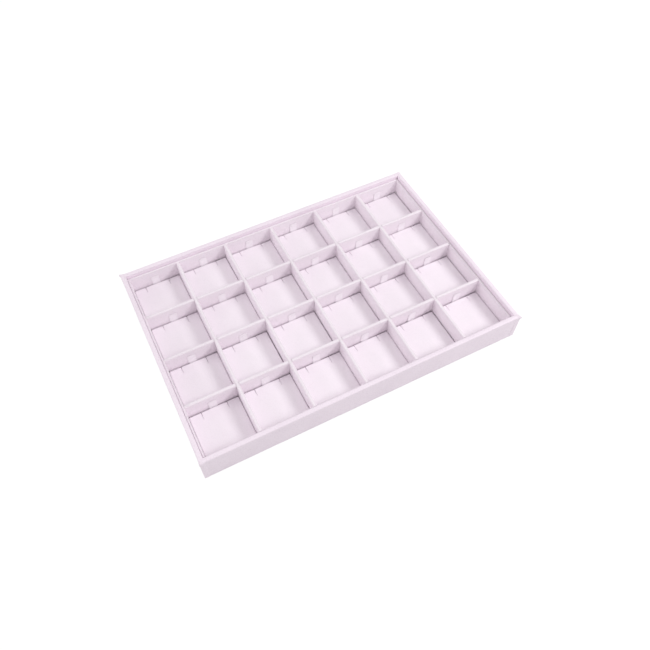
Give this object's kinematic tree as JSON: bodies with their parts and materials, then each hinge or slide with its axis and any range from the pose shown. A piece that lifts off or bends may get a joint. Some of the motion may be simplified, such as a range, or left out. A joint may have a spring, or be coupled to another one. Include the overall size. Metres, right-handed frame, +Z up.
{
  "type": "jewelry display tray",
  "caption": "Shallow leatherette display tray with a grid of square compartments, half-lapped dividers and lift-out slit pads with pull tabs.",
  "frame": {"origin": "on the table, under the middle of the tray", "axes": "+X along the long side, +Y from the front to the back, where the pull tabs stand, +Z up"},
  "size_m": [0.35, 0.24, 0.035],
  "materials": {
    "leatherette": "fine-grained white leatherette",
    "divider_leatherette": "fine-grained white leatherette",
    "pad_leatherette": "soft white leatherette over foam",
    "ribbon": "woven ribbon",
    "lining_paper": "flocked lining",
    "board": "bare fibreboard",
    "underside_felt": "matt felt"
  },
  "bodies": {
    "tray": {"frame_front": "leatherette", "frame_back": "leatherette", "frame_left": "leatherette", "frame_right": "leatherette", "bottom_cover": "underside_felt", "base_board": "board", "floor_lining": "lining_paper"},
    "divider_insert": {"insert_liner_long": "divider_leatherette", "insert_liner_cross": "divider_leatherette", "divider_long": "divider_leatherette", "divider_cross": "divider_leatherette"},
    "lift_pad_row1_column1": {"pad_row1_column1": "pad_leatherette", "pull_tab_row1_column1": "ribbon"},
    "lift_pad_row1_column2": {"pad_row1_column2": "pad_leatherette", "pull_tab_row1_column2": "ribbon"},
    "lift_pad_row1_column3": {"pad_row1_column3": "pad_leatherette", "pull_tab_row1_column3": "ribbon"},
    "lift_pad_row1_column4": {"pad_row1_column4": "pad_leatherette", "pull_tab_row1_column4": "ribbon"},
    "lift_pad_row1_column5": {"pad_row1_column5": "pad_leatherette", "pull_tab_row1_column5": "ribbon"},
    "lift_pad_row1_column6": {"pad_row1_column6": "pad_leatherette", "pull_tab_row1_column6": "ribbon"},
    "lift_pad_row2_column1": {"pad_row2_column1": "pad_leatherette", "pull_tab_row2_column1": "ribbon"},
    "lift_pad_row2_column2": {"pad_row2_column2": "pad_leatherette", "pull_tab_row2_column2": "ribbon"},
    "lift_pad_row2_column3": {"pad_row2_column3": "pad_leatherette", "pull_tab_row2_column3": "ribbon"},
    "lift_pad_row2_column4": {"pad_row2_column4": "pad_leatherette", "pull_tab_row2_column4": "ribbon"},
    "lift_pad_row2_column5": {"pad_row2_column5": "pad_leatherette", "pull_tab_row2_column5": "ribbon"},
    "lift_pad_row2_column6": {"pad_row2_column6": "pad_leatherette", "pull_tab_row2_column6": "ribbon"},
    "lift_pad_row3_column1": {"pad_row3_column1": "pad_leatherette", "pull_tab_row3_column1": "ribbon"},
    "lift_pad_row3_column2": {"pad_row3_column2": "pad_leatherette", "pull_tab_row3_column2": "ribbon"},
    "lift_pad_row3_column3": {"pad_row3_column3": "pad_leatherette", "pull_tab_row3_column3": "ribbon"},
    "lift_pad_row3_column4": {"pad_row3_column4": "pad_leatherette", "pull_tab_row3_column4": "ribbon"},
    "lift_pad_row3_column5": {"pad_row3_column5": "pad_leatherette", "pull_tab_row3_column5": "ribbon"},
    "lift_pad_row3_column6": {"pad_row3_column6": "pad_leatherette", "pull_tab_row3_column6": "ribbon"},
    "lift_pad_row4_column1": {"pad_row4_column1": "pad_leatherette", "pull_tab_row4_column1": "ribbon"},
    "lift_pad_row4_column2": {"pad_row4_column2": "pad_leatherette", "pull_tab_row4_column2": "ribbon"},
    "lift_pad_row4_column3": {"pad_row4_column3": "pad_leatherette", "pull_tab_row4_column3": "ribbon"},
    "lift_pad_row4_column4": {"pad_row4_column4": "pad_leatherette", "pull_tab_row4_column4": "ribbon"},
    "lift_pad_row4_column5": {"pad_row4_column5": "pad_leatherette", "pull_tab_row4_column5": "ribbon"},
    "lift_pad_row4_column6": {"pad_row4_column6": "pad_leatherette", "pull_tab_row4_column6": "ribbon"}
  },
  "joints": [
    {"name": "insert_lift", "type": "slide", "parent": "tray", "child": "divider_insert", "axis": [0, 0, 1], "range_m": [0, 0.045]},
    {"name": "pad_lift_row1_column1", "type": "slide", "parent": "tray", "child": "lift_pad_row1_column1", "axis": [0, 0, 1], "range_m": [0, 0.045]},
    {"name": "pad_lift_row1_column2", "type": "slide", "parent": "tray", "child": "lift_pad_row1_column2", "axis": [0, 0, 1], "range_m": [0, 0.045]},
    {"name": "pad_lift_row1_column3", "type": "slide", "parent": "tray", "child": "lift_pad_row1_column3", "axis": [0, 0, 1], "range_m": [0, 0.045]},
    {"name": "pad_lift_row1_column4", "type": "slide", "parent": "tray", "child": "lift_pad_row1_column4", "axis": [0, 0, 1], "range_m": [0, 0.045]},
    {"name": "pad_lift_row1_column5", "type": "slide", "parent": "tray", "child": "lift_pad_row1_column5", "axis": [0, 0, 1], "range_m": [0, 0.045]},
    {"name": "pad_lift_row1_column6", "type": "slide", "parent": "tray", "child": "lift_pad_row1_column6", "axis": [0, 0, 1], "range_m": [0, 0.045]},
    {"name": "pad_lift_row2_column1", "type": "slide", "parent": "tray", "child": "lift_pad_row2_column1", "axis": [0, 0, 1], "range_m": [0, 0.045]},
    {"name": "pad_lift_row2_column2", "type": "slide", "parent": "tray", "child": "lift_pad_row2_column2", "axis": [0, 0, 1], "range_m": [0, 0.045]},
    {"name": "pad_lift_row2_column3", "type": "slide", "parent": "tray", "child": "lift_pad_row2_column3", "axis": [0, 0, 1], "range_m": [0, 0.045]},
    {"name": "pad_lift_row2_column4", "type": "slide", "parent": "tray", "child": "lift_pad_row2_column4", "axis": [0, 0, 1], "range_m": [0, 0.045]},
    {"name": "pad_lift_row2_column5", "type": "slide", "parent": "tray", "child": "lift_pad_row2_column5", "axis": [0, 0, 1], "range_m": [0, 0.045]},
    {"name": "pad_lift_row2_column6", "type": "slide", "parent": "tray", "child": "lift_pad_row2_column6", "axis": [0, 0, 1], "range_m": [0, 0.045]},
    {"name": "pad_lift_row3_column1", "type": "slide", "parent": "tray", "child": "lift_pad_row3_column1", "axis": [0, 0, 1], "range_m": [0, 0.045]},
    {"name": "pad_lift_row3_column2", "type": "slide", "parent": "tray", "child": "lift_pad_row3_column2", "axis": [0, 0, 1], "range_m": [0, 0.045]},
    {"name": "pad_lift_row3_column3", "type": "slide", "parent": "tray", "child": "lift_pad_row3_column3", "axis": [0, 0, 1], "range_m": [0, 0.045]},
    {"name": "pad_lift_row3_column4", "type": "slide", "parent": "tray", "child": "lift_pad_row3_column4", "axis": [0, 0, 1], "range_m": [0, 0.045]},
    {"name": "pad_lift_row3_column5", "type": "slide", "parent": "tray", "child": "lift_pad_row3_column5", "axis": [0, 0, 1], "range_m": [0, 0.045]},
    {"name": "pad_lift_row3_column6", "type": "slide", "parent": "tray", "child": "lift_pad_row3_column6", "axis": [0, 0, 1], "range_m": [0, 0.045]},
    {"name": "pad_lift_row4_column1", "type": "slide", "parent": "tray", "child": "lift_pad_row4_column1", "axis": [0, 0, 1], "range_m": [0, 0.045]},
    {"name": "pad_lift_row4_column2", "type": "slide", "parent": "tray", "child": "lift_pad_row4_column2", "axis": [0, 0, 1], "range_m": [0, 0.045]},
    {"name": "pad_lift_row4_column3", "type": "slide", "parent": "tray", "child": "lift_pad_row4_column3", "axis": [0, 0, 1], "range_m": [0, 0.045]},
    {"name": "pad_lift_row4_column4", "type": "slide", "parent": "tray", "child": "lift_pad_row4_column4", "axis": [0, 0, 1], "range_m": [0, 0.045]},
    {"name": "pad_lift_row4_column5", "type": "slide", "parent": "tray", "child": "lift_pad_row4_column5", "axis": [0, 0, 1], "range_m": [0, 0.045]},
    {"name": "pad_lift_row4_column6", "type": "slide", "parent": "tray", "child": "lift_pad_row4_column6", "axis": [0, 0, 1], "range_m": [0, 0.045]}
  ]
}
